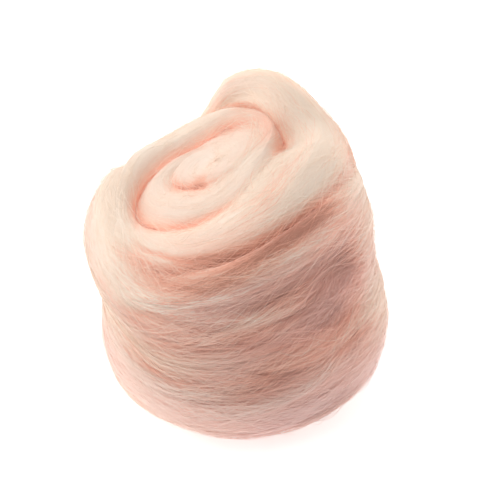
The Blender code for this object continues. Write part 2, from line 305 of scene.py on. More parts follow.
def place(turn, radius, height):
    """Points of the roll for radii from the pole, blended from the round body to the top."""
    across, back = np.cos(np.radians(turn)), np.sin(np.radians(turn))
    change = swell(turn, height)
    share = radius / outline(turn) * (foot_profile(height) + change)
    foot = np.clip(1.0 - height / FOOT_OFFSET_HEIGHT, 0.0, 1.0) ** 2
    body_x = BODY_RADIUS[0] * share * across + FOOT_OFFSET[0] * foot
    body_y = BODY_RADIUS[1] * share * back + FOOT_OFFSET[1] * foot
    top_x = POLE[0] + radius * (1.0 + change) * across
    top_y = POLE[1] + radius * (1.0 + change) * back
    shoulder = SHOULDER_HEIGHT - SHOULDER_SLOPE * np.cos(np.radians(turn - SHOULDER_LOW_SIDE))
    t = np.clip((height - FOOT_HEIGHT) / (SHOULDER_SHARE * shoulder - FOOT_HEIGHT), 0.0, 1.0)
    blend = 0.5 * t + 0.5 * ease(t)
    return np.stack((body_x + (top_x - body_x) * blend, body_y + (top_y - body_y) * blend,
                     height + 0.0 * body_x), axis=-1)


# ---- the skin's grid
INNER_POINTS, LIP_POINTS, SIDE_POINTS, FOOT_POINTS = 16, 58, 108, 14
INNER_FINE, LIP_FINE, SIDE_FINE, FOOT_FINE = 60, 150, 240, 90  # before they are spaced out
STATION_STEP = 1.12  # along the winding, between sections of the skin
LEAST_ARC_RADIUS = 4.0  # by which the sections are spaced in the middle
UNDER_LIP = 1.4  # how far the turns round off underneath
LIP_SOFTNESS = 0.75  # of a soft lip, which slopes into its groove: a round one's is 0
WRAP_STARTS = (1180.0, 1210.0)  # turns over which the soft inner lips end
FLAT_ENDS = (620.0, 750.0)  # turns over which the flat lips of the middle become round
SIDE_CROWDING = 1.3  # how the side's points crowd towards the lip

# turn, how soft the lip is on its outer side
OUTER_SOFTNESS = np.array(((780, 1.0), (830, 0.0), (868, 0.0), (890, 1.3), (945, 1.3), (970, 0.0)))

# turn, how far the lip follows the sloping top
FOLLOWS_SLOPE = np.array(((1100, 1.0), (1150, 0.0), (1232, 0.0), (1250, 1.0)))

ANGLE_STEP = 0.5
END_REACH = 8.0  # degrees before the wrap's end, over which it thins out
END_THICKNESS = 0.3
START_TUCK = 0.15  # of the band's first end, under the turn that passes over it
START_REACH = 40.0  # degrees over which that turn draws back from it
LEAST_RADIUS = 0.02
FLAT_MIDDLE = 6.0  # radius about the pole in which the first turn runs level
LEVEL_ENDS = (300.0, 360.0)  # degrees past the band's start over which it leaves that level
NOISE_SIZE = (251, 241)


def smooth_noise(u, v, seed):
    """Values from -1 to 1 that vary smoothly over about one unit of u and v."""
    table = np.random.default_rng(seed).uniform(-1.0, 1.0, NOISE_SIZE)
    u0, v0 = np.floor(u), np.floor(v)
    fu, fv = ease(u - u0), ease(v - v0)
    iu, iv = u0.astype(int) % NOISE_SIZE[0], v0.astype(int) % NOISE_SIZE[1]
    ju, jv = (iu + 1) % NOISE_SIZE[0], (iv + 1) % NOISE_SIZE[1]
    low = table[iu, iv] * (1 - fu) + table[ju, iv] * fu
    high = table[iu, jv] * (1 - fu) + table[ju, jv] * fu
    return low * (1 - fv) + high * fv


def noises(s, w, layers):
    """A sum of noises along and across the winding: how much, how long, how wide, and a seed."""
    return sum(much * smooth_noise(s / long, w / wide, seed) for much, long, wide, seed in layers)


def crest_of(turn):
    """Radii of the band's faces and crest, and the crest's height."""
    around = ease((turn - FIRST_TURN - 360.0) / START_REACH)
    inner = LEAST_RADIUS + (groove(turn - 360.0) - SKIN_OVERLAP / 2 - LEAST_RADIUS) * around
    beyond = np.where(turn > OUTER_TURN, 0.0, SKIN_OVERLAP / 2)
    outer = np.maximum(groove(turn) + beyond, inner + LEAST_THICKNESS)
    ending = np.clip(1.0 - (LAST_TURN - turn) / END_REACH, 0.0, 1.0)
    outer = outer - (outer - inner - END_THICKNESS) * (1.0 - np.sqrt(1.0 - ending ** 2))
    crest = inner + (outer - inner) * look_up(CRESTS, turn)
    top = (TOP_HEIGHT + TOP_SLOPE_RIGHT * crest * np.cos(np.radians(turn))
           + TOP_SLOPE_BACK * crest * np.sin(np.radians(turn)) + along(RISE, turn))
    return inner, outer, crest, top


def slope_across(turn, crest, outer, radius):
    """How far a lip's surface leaves its crest's height as it follows the sloping top.

    The flat turns in the middle follow it right across, and the round lips outside them only as
    far as their crests, then less and less.
    """
    slope = TOP_SLOPE_RIGHT * np.cos(np.radians(turn)) + TOP_SLOPE_BACK * np.sin(np.radians(turn))
    follows = look_up(FOLLOWS_SLOPE, turn)
    flat = 1.0 - climb(turn, *FLAT_ENDS)
    away = radius - crest
    beyond = np.clip(away / np.maximum(outer - crest, 0.01), 0.0, 1.0)
    return follows * slope * away * (flat + (1.0 - flat) * (1.0 - beyond) ** 2)


def stations():
    """Turn angles of the skin's sections, about evenly spaced along the winding."""
    fine = np.arange(FIRST_TURN, LAST_TURN, ANGLE_STEP)
    radius = np.maximum(crest_of(fine)[1], LEAST_ARC_RADIUS)
    arc = np.concatenate(((0.0,), np.cumsum(np.radians(ANGLE_STEP) * radius)))
    ends = np.append(fine, LAST_TURN)
    count = int(arc[-1] / STATION_STEP)
    return np.interp(np.linspace(0.0, arc[-1], count), arc, ends)


def resample(points, weights, count):
    """Points along each row of a grid, spaced by weighted length."""
    steps = np.linalg.norm(np.diff(points, axis=1), axis=2) * (weights[:, 1:] + weights[:, :-1]) / 2
    run = np.concatenate((np.zeros((len(points), 1)), np.cumsum(steps, axis=1)), axis=1)
    run /= run[:, -1:]
    goal = np.linspace(0.0, 1.0, count)
    at = np.stack([np.interp(goal, row, np.arange(len(row))) for row in run])
    low = np.minimum(at.astype(int), points.shape[1] - 2)
    part = (at - low)[..., None]
    rows = np.arange(len(points))[:, None]
    return points[rows, low] * (1 - part) + points[rows, low + 1] * part


def near_lip(below, least, reach):
    """Weights that keep a face's points close together near the lip."""
    return least + np.exp(-below / reach)


def face(turn, radius, end, share):
    """Points up a face, for shares of its height up to the lip's end, and how far below that."""
    height = UNDER_LIP + (end - UNDER_LIP) * share
    return place(turn, radius * np.ones_like(height), height), end - height


def over_lip(turn, inner_drop, outer_drop, top):
    """Points over the lip, from the end of the inner face to the start of the outer one."""
    inner, outer, crest = crest_of(turn)[:3]
    q = -np.cos(np.linspace(0.0, np.pi, LIP_FINE))[None]
    width = np.where(q < 0.0, crest - inner, outer - crest)
    drop = np.where(q < 0.0, inner_drop, outer_drop)
    soft = np.where(q < 0.0, 1.0 - climb(turn, *WRAP_STARTS), look_up(OUTER_SOFTNESS, turn))
    round_fall = 1.0 - np.sqrt(np.maximum(0.0, 1.0 - q * q))
    fall = round_fall + LIP_SOFTNESS * soft * (q * q - round_fall)
    radius = crest + q * width
    in_middle = (1.0 - climb(turn - FIRST_TURN, *LEVEL_ENDS)) * (1.0 - ease(radius / FLAT_MIDDLE))
    level = top - along(RISE, turn) * in_middle
    lip = place(turn, radius, level - drop * fall + slope_across(turn, crest, outer, radius))
    return resample(lip, np.ones(lip.shape[:2]), LIP_POINTS)


def under_foot(turn, inner, outer):
    q = np.cos(np.linspace(0.0, np.pi, FOOT_FINE))[None]
    height = UNDER_LIP * (1.0 - (1.0 - q ** 4) ** 0.25) * np.ones_like(turn)
    foot = place(turn, (inner + outer) / 2 + q * (outer - inner) / 2, height)
    return resample(foot, np.ones(foot.shape[:2]), FOOT_POINTS)


def band_grid():
    """Points of the wound band: one row for each section, round from the inner face to the foot."""
    turn = stations()[:, None]
    inner, outer, crest, top = crest_of(turn)
    inner_drop = along(INNER_DROP, turn) * (turn > FIRST_TURN + 360.0)
    outer_drop = along(OUTER_DROP, turn)
    top = top - START_TUCK * (1.0 - ease((turn - FIRST_TURN) / START_REACH))

    # the inner face shows only near the lip
    end = top - inner_drop + slope_across(turn, crest, outer, inner)
    points, below = face(turn, inner, end, np.linspace(0.0, 1.0, INNER_FINE)[None])
    inner_part = resample(points, near_lip(below, 0.03, 5.0), INNER_POINTS)

    # the outer face shows whole on the last turn and near the lip before that
    end = top - outer_drop + slope_across(turn, crest, outer, outer)
    share = 1.0 - np.linspace(0.0, 1.0, SIDE_FINE)[None] ** SIDE_CROWDING
    points, below = face(turn, outer, end, share)
    shown = climb(turn, OUTER_TURN - 160.0, OUTER_TURN - 20.0)
    weights = shown + (1.0 - shown) * near_lip(below, 0.02, 6.0)
    side_part = resample(points, weights, SIDE_POINTS)

    lip_part = over_lip(turn, inner_drop, outer_drop, top)
    foot_part = under_foot(turn, inner, outer)
    parts = (inner_part[:, :-1], lip_part, side_part[:, 1:], foot_part[:, 1:-1])
    return turn[:, 0], np.concatenate(parts, axis=1)


def grid_normals(points):
    along_winding = np.gradient(points, axis=0)
    across = np.roll(points, -1, axis=1) - np.roll(points, 1, axis=1)
    return unit(np.cross(across, along_winding))


LIP_START = INNER_POINTS - 1
LIP_END = LIP_START + LIP_POINTS
SIDE_END = LIP_END + SIDE_POINTS - 1

PEACH_TONE = 0.3  # between 0, in shade, and 1, cream
SEEN_DEPTH = 3.0  # about how far down between two turns the wool can be seen
GROOVE_DROPS = (0.6, 3.0)  # a lip's drop at which its groove starts to look deep, and does fully
GROOVE_CORE = (0.78, 0.98)  # values of how_deep where the painted shade of a groove's bottom starts, and is darkest
# painted glow: in the grooves and on the high lobe for light through the wool, and low in front for the
# floor's bounce
GROOVE_GLOW, LOBE_GLOW, FOOT_GLOW = 0.18, 0.08, 0.07  # painted glow, emitted by the wool

# turns over which one thing becomes another
SIDE_STARTS = (780.0, 900.0)  # the steep outside becomes the wispy side
MIDDLE_ENDS = (640.0, 720.0)  # the middle's lips get as pale as the rest
WRAP_TONE = (1225.0, 1270.0)  # the wrap's lip gets the side's tone
OUTER_GROOVE_ENDS = (1045.0, 1075.0)  # the front lip comes to lie on the side
OPEN_STARTS = (925.0, 965.0)  # the left lobe's outside lies open
LOBE_STARTS, LOBE_ENDS = (1100.0, 1130.0), (1195.0, 1175.0)

# a layer of noise, as noises reads it, for the pink haze of the side
HAZE = ((1.0, 30.0, 9.0, 41),)

# direction, how pale the side is painted there: painted light on the left and right flanks,
# and painted shade towards the front and front right
SIDE_LIGHT_AND_SHADE = np.array((
    (0, 0.85), (20, 0.68), (90, 0.5), (160, 0.58), (180, 0.85), (205, 0.8), (225, 0.56), (250, 0.37),
    (270, 0.26), (290, 0.17), (315, 0.15), (328, 0.3), (345, 0.68), (360, 0.85),
))


class Band:
    """The wound band's grid in millimetres, with what the relief and the fibres need to know."""

    def __init__(self):
        self.turn, points = band_grid()
        low, high = points.reshape(-1, 3).min(0), points.reshape(-1, 3).max(0)
        middle = (np.array(cad_low) + np.array(cad_high))[:2] / 2 / MM
        self.shift = np.append((low + high)[:2] / 2 - middle, 0.0)
        self.points = points - self.shift
        self.normals = grid_normals(self.points)
        rows, columns = points.shape[:2]
        self.column = np.arange(columns)[None]
        self.on_lip = (self.column >= LIP_START) & (self.column < LIP_END)
        across = np.linalg.norm(np.diff(self.points, axis=1), axis=2)
        run = np.concatenate((np.zeros((rows, 1)), np.cumsum(across, axis=1)), axis=1)
        crest = LIP_START + LIP_POINTS // 2
        self.across = run - run[:, crest:crest + 1]
        forward = np.linalg.norm(np.diff(self.points[:, crest], axis=0), axis=1)
        self.forward = np.concatenate(((0.0,), np.cumsum(forward)))[:, None] + 0.0 * self.across
        self.shown = self.how_shown()
        self.side = self.how_much_side()
        self.tone = self.painted_light_and_shade()
        self.pink = self.how_pink_and_floor_lit()
        self.glow = self.how_painted_glow()

    def how_shown(self):
        """1 where the surface can be seen, and 0 deep between the turns and underneath."""
        outermost = (self.turn >= OUTER_TURN)[:, None]
        side = (self.column >= LIP_END) & (self.column < SIDE_END)
        start = self.across[:, LIP_END - 1:LIP_END]
        near = np.exp(-np.maximum(self.across - start, 0.0) / SEEN_DEPTH)
        inner_start = self.across[:, LIP_START:LIP_START + 1]
        near_inner = np.exp(-np.maximum(inner_start - self.across, 0.0) / SEEN_DEPTH)
        shown = np.where(self.on_lip, 1.0, np.where(side, np.where(outermost, 1.0, near), 0.0))
        return np.where(self.column < LIP_START, near_inner, shown)

    def how_much_side(self):
        """0 on the smooth wound top, 1 on the wispy side of the roll."""
        return climb(self.normals[..., 2], 0.75, 0.15) * climb(self.turn, *SIDE_STARTS)[:, None]

    def painted_light_and_shade(self):
        """1 where the wool is painted pale by light, 0.3 where it is peach, and 0 where shade is painted
        in.
        """
        turn = self.turn[:, None]
        # painted light: paler facing up, for light from above, and low down, more on the left, for the
        # floor's bounce
        up = climb(self.normals[..., 2], -0.2, 0.9)
        left, low = climb(self.points[..., 0], 0.0, -30.0), climb(self.points[..., 2], 21.0, 9.0)
        round_side = look_up(SIDE_LIGHT_AND_SHADE, np.mod(turn, 360.0)) + (0.3 + 0.2 * left) * low
        flat = 1.0 - climb(turn, *MIDDLE_ENDS)
        lip = 0.25 + (0.75 - 0.13 * flat) * up
        # painted light on the high lobe
        lip = lip + 0.6 * (0.9 - lip) * self.how_high()
        lip = lip + (round_side + 0.25 * up - lip) * climb(turn, *WRAP_TONE)
        pale = np.where(self.on_lip, lip, round_side + 0.1 * up)
        deep = self.how_deep()
        # painted peach and painted shade down in the grooves, darkest at their bottoms
        pale = pale + (PEACH_TONE - pale) * deep - PEACH_TONE * climb(deep, *GROOVE_CORE)
        # painted shade where the wool lies deep between the turns
        return pale * (0.4 + 0.6 * self.shown)

    def how_deep(self):
        """1 down in the grooves between the turns of the top."""
        turn = self.turn[:, None]

        def depth(drop, end, reach):
            away = np.abs(self.across - self.across[:, end:end + 1])
            return climb(drop, *GROOVE_DROPS) * np.exp(-(away / reach) ** 1.6)

        inner_drop, outer_drop = along(INNER_DROP, turn), along(OUTER_DROP, turn)
        inside = depth(inner_drop, LIP_START, 1.4 + 0.6 * np.minimum(inner_drop, 4.0))
        outside = depth(outer_drop, LIP_END - 1, 1.4 + 0.2 * outer_drop)
        outside = outside * (1.0 - climb(turn, *OUTER_GROOVE_ENDS))
        return np.maximum(inside * (1.0 - 0.8 * self.how_high()), outside)

    def how_high(self):
        """1 on the high lobe at the back right."""
        turn = self.turn[:, None]
        lip = (self.column >= LIP_START - 4) & (self.column < LIP_END)
        return climb(turn, *LOBE_STARTS) * climb(turn, *LOBE_ENDS) * lip

    def how_pink_and_floor_lit(self):
        """1 low down, more on the right, for the floor's painted bounce, and some on the side for a
        haze.
        """
        low, right = climb(self.points[..., 2], 30.0, 9.0), climb(self.points[..., 0], -30.0, 30.0)
        haze = noises(self.forward, self.across, HAZE)
        return np.clip(low * (0.25 + 0.5 * right) + self.side * (0.1 + 0.3 * haze), 0.0, 1.0)

    def how_painted_glow(self):
        """Painted glow the wool emits, for light through it in the grooves and lobe, and floor bounce in
        front.
        """
        x, y, z = np.moveaxis(self.points, -1, 0)
        low = climb(z, 20.0, 5.0) * climb(x, 26.0, 0.0) * climb(y, 5.0, -20.0)
        outer_half = self.column > LIP_START + LIP_POINTS // 2
        open_side = climb(self.turn[:, None], *OPEN_STARTS) * outer_half
        deep = self.how_deep()
        grooves = deep * (1.0 - 0.7 * climb(deep, *GROOVE_CORE)) * (1.0 - open_side)
        return GROOVE_GLOW * grooves + LOBE_GLOW * self.how_high() + FOOT_GLOW * low


band = Band()
LAST_ROW = len(band.turn) - 1.0


# ---- relief of the combed wool
SEAM_REACH = 14.0  # degrees to either side of the wrap's end, where the relief fades
CALM_ENDS = (330.0, 630.0)  # turns over which the eye's calm gives way to the relief
DRIFT = ((2.2, 34.0, 11.0, 11), (0.8, 15.0, 5.0, 12))
LUMPS = ((0.50, 42.0, 12.0, 1),)
LOCKS = ((0.34, 30.0, 3.6, 2),)
RIDGES = ((0.20, 22.0, 1.5, 3),)
THREADS = ((0.09, 13.0, 0.75, 4),)


def from_line(forward, up, line):
    """Distance of points from a line of segments, and how far along it, from 0 to 1, they lie."""
    nearest = np.full(forward.shape, 1e6)
    share = np.zeros(forward.shape)
    for i in range(len(line) - 1):
        ax, ay = line[i]
        dx, dy = line[i + 1][0] - ax, line[i + 1][1] - ay
        t = np.clip(((forward - ax) * dx + (up - ay) * dy) / (dx * dx + dy * dy), 0.0, 1.0)
        away = np.hypot(forward - ax - t * dx, up - ay - t * dy)
        closer = away < nearest
        nearest = np.where(closer, away, nearest)
        share = np.where(closer, (i + t) / (len(line) - 1), share)
    return nearest, share


def forward_at(turn):
    return np.interp(turn, band.turn, band.forward[:, 0])


def row_of(turn):
    return np.interp(turn, band.turn, np.arange(len(band.turn)))


def creases():
    """Depth of the listed creases and ridges, and their tint of painted shade and paler wool."""
    depth, tint = np.zeros(band.forward.shape), np.zeros(band.forward.shape)
    outside = (band.column >= LIP_START + 2) & (band.column < SIDE_END)
    outside = outside & (band.turn >= OUTER_TURN)[:, None]

    def add(amount, change, width, up, line, where):
        nonlocal depth, tint
        away, share = from_line(band.forward, up, line)
        taper = np.sin(np.pi * np.clip(share, 0.04, 0.96)) ** 0.6
        near = taper * np.exp(-(away / width) ** 2) * where
        depth = depth + amount * near
        tint = tint + change * near

    for amount, change, width, line in SIDE_CREASES:
        line = [(forward_at(turn), height) for turn, height in line]
        add(amount, change, width, band.points[..., 2], line, outside)
    for amount, change, width, line in LIP_CREASES:
        middle = int(row_of(line[len(line) // 2][0]))
        lip_width = band.across[middle, LIP_END] - band.across[middle, LIP_START]
        line = [(forward_at(turn), share * lip_width) for turn, share in line]
        past_start = (band.column - LIP_START) / LIP_POINTS * lip_width + 0.0 * band.across
        add(amount, change, width, past_start, line, band.on_lip)
    return depth, tint


def add_relief():
    """Raise ridges of combed fibres along the winding, faint on the top and deeper on the side."""
    s, w = band.forward, band.across
    w = w + noises(s, w, DRIFT)
    lumps, locks, ridges, threads = [noises(s, w, kind) for kind in (LUMPS, LOCKS, RIDGES, THREADS)]
    side = 0.8 * lumps + 1.6 * locks + 0.45 * ridges + 0.1 * threads
    top = 0.5 * lumps + 0.12 * locks + 0.08 * ridges + 0.1 * threads
    placed, tint = creases()
    from_end = np.abs(np.mod(band.turn - LAST_TURN + 180.0, 360.0) - 180.0)
    at_end = (1.0 - ease(from_end / SEAM_REACH)) * (band.turn > OUTER_TURN - SEAM_REACH)
    calm = climb(band.turn, *CALM_ENDS)[:, None] * (1.0 - at_end[:, None] * band.side)
    relief = (calm * (top + (side - top) * band.side) + placed) * band.shown
    points = band.points + band.normals * relief[..., None]
    points[..., 2] = np.maximum(points[..., 2], 0.0)
    band.points = points
    band.normals = grid_normals(points)
    band.relief = relief
    # the creases' tints: painted shade in creases and hollows, and paler ridges, in part painted light
    band.tone = np.clip(band.tone + 0.7 * np.clip(tint, -1.4, 1.0) * band.shown, -0.55, 1.0)
    band.tints = np.stack((band.tone, band.pink, band.glow), axis=-1)


add_relief()


# ---- materials
# the tone runs from painted shade (SHADE) through peach to cream, where most light is painted; PINK is
# paler, for the floor's painted bounce and the side's pink haze
CREAM = (0.96, 0.83, 0.71)
PEACH = (0.95, 0.52, 0.38)
SHADE = (0.68, 0.34, 0.25)
PINK = (1.0, 0.74, 0.70)
BLACK = (0.0, 0.0, 0.0)
SHEEN = (1.0, 0.93, 0.88)
HAIR_SCALE = (0.16, 4.5, 1.0)  # of the bump's noise, along and across the winding
HAIR_HEIGHT = 0.0002  # in metres


def set_inputs(node, **values):
    for name, value in values.items():
        node.inputs[name.replace("_", " ")].default_value = value


def tint_of(nodes, name):
    """What a mesh keeps under a name for each of its points."""
    node = nodes.new("ShaderNodeAttribute")
    node.attribute_name = name
    return node.outputs["Fac"]


def mixed(tree, amount, first, second):
    """A colour between two, where each is a colour or another node's output."""
    node = tree.nodes.new("ShaderNodeMix")
    node.data_type = "RGBA"
    tree.links.new(amount, node.inputs["Factor"])
    for name, colour in (("A", first), ("B", second)):
        if isinstance(colour, tuple):
            node.inputs[name].default_value = (*colour, 1.0)
        else:
            tree.links.new(colour, node.inputs[name])
    return node.outputs["Result"]


def add_hairs(tree, shader, strength):
    """A bump of hairs finer than the mesh, drawn out along the winding."""
    nodes, links = tree.nodes, tree.links
    winding = nodes.new("ShaderNodeUVMap")
    winding.uv_map = "winding"
    stretch = nodes.new("ShaderNodeMapping")
    set_inputs(stretch, Scale=HAIR_SCALE)
    hairs = nodes.new("ShaderNodeTexNoise")
    set_inputs(hairs, Scale=1.0, Detail=4.0, Roughness=0.65, Distortion=0.35)
    raised = nodes.new("ShaderNodeBump")
    set_inputs(raised, Strength=strength, Distance=HAIR_HEIGHT)
    links.new(winding.outputs["UV"], stretch.inputs["Vector"])
    links.new(stretch.outputs["Vector"], hairs.inputs["Vector"])
    links.new(hairs.outputs["Fac"], raised.inputs["Height"])
    links.new(raised.outputs["Normal"], shader.inputs["Normal"])


def wool_material(name, bump):
    """Matt wool from cream to peach to painted shade, with a painted glow as emission, and hairs in the
    bump.
    """
    material = bpy.data.materials.new(name)
    material.use_nodes = True
    material.cycles.emission_sampling = "NONE"
    tree = material.node_tree
    nodes, links = tree.nodes, tree.links
    shader = nodes["Principled BSDF"]
    set_inputs(shader, Roughness=0.9, Metallic=0.0, Specular_IOR_Level=0.18, Sheen_Weight=0.9,
               Sheen_Roughness=0.45, Sheen_Tint=(*SHEEN, 1.0), Emission_Strength=1.0)
    ramp = nodes.new("ShaderNodeValToRGB")
    ramp.color_ramp.elements.new(PEACH_TONE)
    for stop, colour in zip(ramp.color_ramp.elements, (SHADE, PEACH, CREAM)):
        stop.color = (*colour, 1.0)
    links.new(tint_of(nodes, "tone"), ramp.inputs["Fac"])
    wool = mixed(tree, tint_of(nodes, "pink"), ramp.outputs["Color"], PINK)
    links.new(wool, shader.inputs["Base Color"])
    # painted glow: the wool's colour emitted as much as its glow tint says
    through = mixed(tree, tint_of(nodes, "glow"), BLACK, wool)
    links.new(through, shader.inputs["Emission Color"])
    if bump:
        add_hairs(tree, shader, bump)
    return material


skin_material = wool_material("combed_wool", bump=0.12)
fibre_material = wool_material("wool_fibre", bump=0.0)


# ---- meshes
STREAKS = ((0.5, 26.0, 2.4, 21), (0.3, 15.0, 0.9, 22), (0.3, 50.0, 14.0, 23))


def mesh_object(name, points, faces, tints, material):
    """A smooth mesh object in metres from arrays of points, quads and tints."""
    mesh = bpy.data.meshes.new(name)
    mesh.vertices.add(len(points))
    mesh.vertices.foreach_set("co", (points * MM).astype(np.float32).ravel())
    mesh.loops.add(faces.size)
    mesh.loops.foreach_set("vertex_index", faces.astype(np.int32).ravel())
    mesh.polygons.add(len(faces))
    mesh.polygons.foreach_set("loop_start", np.arange(0, faces.size, faces.shape[1], dtype=np.int32))
    mesh.update(calc_edges=True)
    mesh.shade_smooth()
    for label, values in zip(("tone", "pink", "glow"), np.moveaxis(tints, -1, 0)):
        attribute = mesh.attributes.new(label, "FLOAT", "POINT")
        attribute.data.foreach_set("value", values.astype(np.float32).ravel())
    mesh.materials.append(material)
    made = bpy.data.objects.new(name, mesh)
    bpy.context.scene.collection.objects.link(made)
    return made


def add_map(made, name, coordinates):
    """Give a mesh a map with the coordinates of each face's corners."""
    layer = made.data.uv_layers.new(name=name)
    layer.data.foreach_set("uv", coordinates.astype(np.float32).ravel())


def make_skin():
    rows, columns = band.points.shape[:2]
    index = np.arange(rows * columns).reshape(rows, columns)
    here, there = index[:-1], index[1:]
    faces = np.stack((here, np.roll(here, -1, 1), np.roll(there, -1, 1), there), axis=-1).reshape(-1, 4)
    s, w = band.forward, band.across
    tints = band.tints.copy()
    # the tone follows the relief: painted shade in its hollows, painted light on its ridges, over
    # streaks
    tints[..., 0] += (0.25 * noises(s, w, STREAKS) + 0.35 * band.relief) * (0.25 + 0.75 * band.side)
    tints = np.clip(tints, 0.0, 1.0)
    skin = mesh_object("wool_band", band.points.reshape(-1, 3), faces, tints, skin_material)
    corner = faces.ravel()
    add_map(skin, "winding", np.stack((s.ravel()[corner], w.ravel()[corner]), axis=1))
    row, column = np.meshgrid(np.arange(rows - 1), np.arange(columns), indexing="ij")
    corners = np.stack((row, column, row, column + 1, row + 1, column + 1, row + 1, column), axis=-1)
    add_map(skin, "OFBake", corners.reshape(-1, 2) / (rows, columns))
    close_ends(skin)
    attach(skin, "root")
    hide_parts("wool_roll")
    return skin


def close_ends(skin):
    """Close the band's two cut ends, so that the skin is one closed form."""
    work = bmesh.new()
    work.from_mesh(skin.data)
    edges = [edge for edge in work.edges if edge.is_boundary]
    bmesh.ops.holes_fill(work, edges=edges, sides=0)
    work.to_mesh(skin.data)
    work.free()


skin = make_skin()


# ---- loose fibres
def read_grid(grid, row, column):
    """Values of a grid between its points."""
    row = np.clip(row, 0.0, grid.shape[0] - 1.001)
    column = np.clip(column, 0.0, grid.shape[1] - 1.001)
    i, j = row.astype(int), column.astype(int)
    fi, fj = (row - i)[..., None], (column - j)[..., None]
    return ((grid[i, j] * (1 - fi) + grid[i + 1, j] * fi) * (1 - fj)
            + (grid[i, j + 1] * (1 - fi) + grid[i + 1, j + 1] * fi) * fj)


def read_value(values, row, column):
    """The same for a grid of single values."""
    return read_grid(values[..., None], row, column)[..., 0]


ROW_STEP = band.forward[1, 0] - band.forward[0, 0]
COLUMN_STEPS = np.gradient(band.across, axis=1)
LEAST_STEP = 0.05  # added to the columns' steps, which may come to nothing
WAVE_LENGTHS = (9.0, 22.0)
END_DIP = 0.10  # of a fibre's ends, into the wool
ROOT_DEPTH = 0.05  # of a hair that grows out of the wool
BRIDGE_DIP = 0.08  # of the ends of a fibre that crosses a groove
TIP_SHARE, TIP_TAPER = 0.12, 2.6  # a fibre's width at its tips, and how fast it gets its full width
LEAST_HEIGHT = 0.05  # of a fibre over the floor
CELL = (0.25, 0.75)  # of the map, which a fibre fills across
CELL_LENGTH = (0.15, 0.85)


def column_step(row, column):
    """Millimetres from one column to the next."""
    return np.abs(read_value(COLUMN_STEPS, row, column)) + LEAST_STEP


SLANTS = ((0.20, 34.0, 13.0, 31), (0.12, 16.0, 6.0, 32))
PATCHES = ((0.6, 26.0, 5.0, 33), (0.4, 12.0, 2.4, 34))

# turn, height, reach in turn, reach in height, slant: down (+) or up (-) along the winding
LEANINGS = (
    (1322, 43, 24, 8, -0.38),  # from under the left lobe
    (1365, 17, 34, 6, -0.20),  # low in front
    (1318, 24, 14, 6, 0.22),
    (1402, 42, 13, 11, -0.55),  # the fan at the right
    (1385, 57, 16, 4, 0.12),
)


def swirl(row, column):
    """How far the fibres of a place slant across the winding together."""
    s = row * ROW_STEP
    w = read_value(band.across, row, column)
    slant = noises(s, w, SLANTS)
    turn = np.interp(row, np.arange(len(band.turn)), band.turn)
    height = read_value(band.points[..., 2], row, column)
    for at_turn, at_height, reach_turn, reach_height, lean in LEANINGS:
        away = ((turn - at_turn) / reach_turn) ** 2 + ((height - at_height) / reach_height) ** 2
        slant = slant + lean * np.exp(-away)
    return read_value(band.side, row, column) * slant


def patch(row, column):
    """Paler and darker patches of the side, which its fibres share."""
    return noises(row * ROW_STEP, read_value(band.across, row, column), PATCHES)


def onward(row, column):
    """Places past the band's end, carried on over the turn that comes out from under it."""
    first = row_of(OUTER_TURN)
    side = np.arange(LIP_END, SIDE_END)
    ending, under = band.points[-1, side, 2], band.points[int(first), side, 2]
    height = np.interp(column, side, ending)
    match = np.interp(-height, -under, side)
    past = row > LAST_ROW
    return np.where(past, first + row - LAST_ROW, row), np.where(past, match, column)


